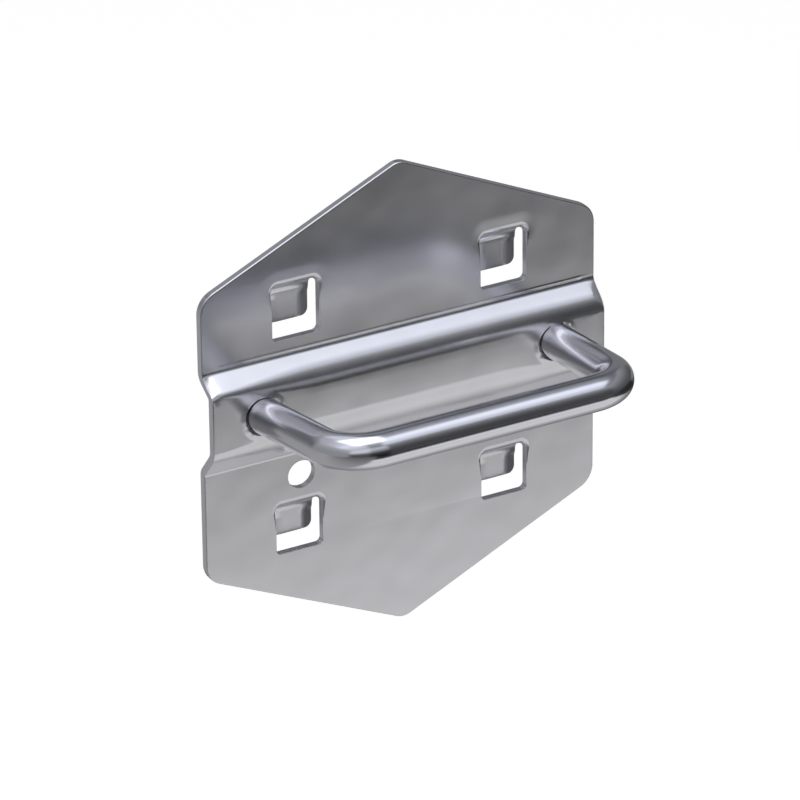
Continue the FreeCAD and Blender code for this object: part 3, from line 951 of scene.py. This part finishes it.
class TOOLBOW_OT_rod(Operator):
    """Bends the round rod into a bow and stakes its two ends behind the band"""
    bl_idname = "toolbow.rod"
    bl_label = "Bent rod"

    def execute(self, context):
        rod = context.scene.tool_bow_rod
        plate = context.scene.tool_bow_plate
        self.radius = rod.diameter / 2
        self.bend = rod.inside_bend + self.radius
        self.turn = math.pi / 2 - rod.toe_in
        self.rise = Vector((0.0, -math.cos(rod.tilt), math.sin(rod.tilt)))
        self.leg = self.rise * math.cos(rod.toe_in) + Vector((math.sin(rod.toe_in), 0.0, 0.0))
        self.base = Vector((-rod.span / 2, -plate.band_depth - plate.sheet, rod.height))
        setback = self.bend * math.tan(self.turn / 2)
        corner = self.base + self.leg * (rod.length / math.cos(rod.toe_in))
        self.bend_start = corner - self.leg * setback
        self.bar_start = corner + Vector((setback, 0.0, 0.0))
        tail = (plate.sheet + rod.head_thickness / 2) / math.cos(rod.tilt)
        self.root = self.base - self.leg * tail
        piece = self.bow()
        self.store_wire_place(piece, rod)
        for side in (-1, 1):
            self.add_head(piece, side, rod, plate)
        finish_piece(piece, zinc_plated_rod_finish(context.scene.tool_bow_finish), "tool_bow",
                     smooth_angle=30)
        return {"FINISHED"}

    def bow(self):
        """Leg, bend, bar, bend and leg, drawn out of one disc."""
        bpy.ops.object.select_all(action="DESELECT")
        bpy.ops.mesh.primitive_circle_add(
            vertices=RING_POINTS, radius=self.radius, fill_type="NGON", location=self.root,
            rotation=self.leg.to_track_quat("Z", "Y").to_euler())
        piece = bpy.context.active_object
        piece.name = "bent_rod"
        piece.data.name = "bent_rod"
        bpy.ops.object.transform_apply(location=True, rotation=True, scale=True)
        bpy.ops.object.mode_set(mode="EDIT")
        bpy.ops.mesh.select_all(action="SELECT")
        away = self.leg.cross(Vector((1.0, 0.0, 0.0))).normalized()
        inward = away.cross(self.leg).normalized()
        down_leg = Vector((self.leg.x, -self.leg.y, -self.leg.z))
        self.draw_out(self.bend_start - self.root, RINGS_ON_LEG)
        self.turn_round(self.bend_start + inward * self.bend, away)
        self.draw_out(Vector((-2 * self.bar_start.x, 0.0, 0.0)), RINGS_ON_BAR)
        centre = self.bend_start + inward * self.bend
        self.turn_round(Vector((-centre.x, centre.y, centre.z)), away)
        self.draw_out(down_leg * (self.bend_start - self.root).length, RINGS_ON_LEG)
        bpy.ops.mesh.select_all(action="SELECT")
        bpy.ops.mesh.remove_doubles(threshold=SAME_RING_POINT)
        bpy.ops.mesh.normals_make_consistent(inside=False)
        bpy.ops.object.mode_set(mode="OBJECT")
        return piece

    def draw_out(self, way, rings):
        for _ in range(rings):
            bpy.ops.mesh.extrude_region_move(TRANSFORM_OT_translate={"value": way / rings})

    def turn_round(self, centre, axis):
        bpy.ops.mesh.spin(steps=RINGS_ON_BEND, angle=-self.turn, center=centre, axis=axis)

    def store_wire_place(self, piece, rod):
        """Keeps each point's place in the wire: two ways across its section and one along it."""
        across = Vector((1.0, 0.0, 0.0))
        away = across.cross(self.rise)
        centre_across = -self.bar_start.x
        centre_out = (self.bar_start - self.base).dot(self.rise) - self.bend
        lean = Vector((-math.sin(rod.toe_in), math.cos(rod.toe_in)))
        store = piece.data.attributes.new("wire_place", "FLOAT_VECTOR", "POINT")
        for vertex in piece.data.vertices:
            from_base = vertex.co - Vector((0.0, self.base.y, self.base.z))
            flat = Vector((abs(from_base.x) - centre_across, from_base.dot(self.rise) - centre_out))
            lift = from_base.dot(away)
            if flat.x < 0.0:
                along, off = flat.x, flat.y - self.bend
            elif flat.dot(lean) < 0.0:
                lever = Vector((math.cos(rod.toe_in), math.sin(rod.toe_in)))
                along, off = self.bend * self.turn - flat.dot(lean), flat.dot(lever) - self.bend
            else:
                along, off = self.bend * math.atan2(flat.x, flat.y), flat.length - self.bend
            side = math.copysign(1.0, from_base.x)
            store.data[vertex.index].vector = (off, lift, side * (along + centre_across))

    def add_head(self, piece, side, rod, plate):
        """Upset head that bears on the back of the band, as one skin with the rod's end."""
        behind = self.base - self.leg * (plate.sheet / 2 / -self.leg.y)
        seat = Vector((side * abs(behind.x), -plate.band_depth, behind.z - ROD_HOLE_DROP))
        bpy.ops.object.select_all(action="DESELECT")
        bpy.ops.mesh.primitive_cylinder_add(
            vertices=RING_POINTS, radius=rod.head_radius, depth=rod.head_thickness,
            location=seat + Vector((0.0, rod.head_thickness / 2, 0.0)),
            rotation=(math.pi / 2, 0.0, 0.0))
        head = bpy.context.active_object
        bpy.ops.object.transform_apply(location=True, rotation=True, scale=True)
        rear = seat.y + rod.head_thickness
        select_edges(head, lambda start, end: min(start.y, end.y) > rear - ON_PLANE)
        bevel_selected(rod.head_crown, segments=5)
        bpy.ops.object.select_all(action="DESELECT")
        bpy.context.view_layer.objects.active = piece
        piece.select_set(True)
        weld = piece.modifiers.new("head", "BOOLEAN")
        weld.operation = "UNION"
        weld.solver = "EXACT"
        weld.object = head
        bpy.ops.object.modifier_apply(modifier=weld.name)
        bpy.data.objects.remove(head)


class TOOLBOW_PT_panel(Panel):
    """Tool bow: its pieces and its stage"""
    bl_idname = "TOOLBOW_PT_panel"
    bl_label = "Tool Bow"
    bl_space_type = "VIEW_3D"
    bl_region_type = "UI"
    bl_category = "Tool Bow"

    def draw(self, context):
        layout = self.layout
        for operator in (TOOLBOW_OT_plate, TOOLBOW_OT_rod, TOOLBOW_OT_stage):
            layout.operator(operator.bl_idname)
        scene = context.scene
        groups = (scene.tool_bow_finish, scene.tool_bow_plate, scene.tool_bow_rod, scene.tool_bow_stage)
        for group in groups:
            for name in group.bl_rna.properties.keys():
                if name not in ("rna_type", "name"):
                    layout.prop(group, name)


CLASSES = (
    ToolBowFinish,
    ToolBowPlate,
    ToolBowRod,
    ToolBowStage,
    TOOLBOW_OT_plate,
    TOOLBOW_OT_rod,
    TOOLBOW_OT_stage,
    TOOLBOW_PT_panel,
)


def register():
    for cls in CLASSES:
        bpy.utils.register_class(cls)
    bpy.types.Scene.tool_bow_finish = PointerProperty(type=ToolBowFinish)
    bpy.types.Scene.tool_bow_plate = PointerProperty(type=ToolBowPlate)
    bpy.types.Scene.tool_bow_rod = PointerProperty(type=ToolBowRod)
    bpy.types.Scene.tool_bow_stage = PointerProperty(type=ToolBowStage)


def unregister():
    del bpy.types.Scene.tool_bow_stage
    del bpy.types.Scene.tool_bow_rod
    del bpy.types.Scene.tool_bow_plate
    del bpy.types.Scene.tool_bow_finish
    for cls in reversed(CLASSES):
        bpy.utils.unregister_class(cls)


def main():
    register()
    bpy.ops.toolbow.plate()
    bpy.ops.toolbow.rod()
    bpy.ops.toolbow.stage()


if __name__ == "__main__":
    main()
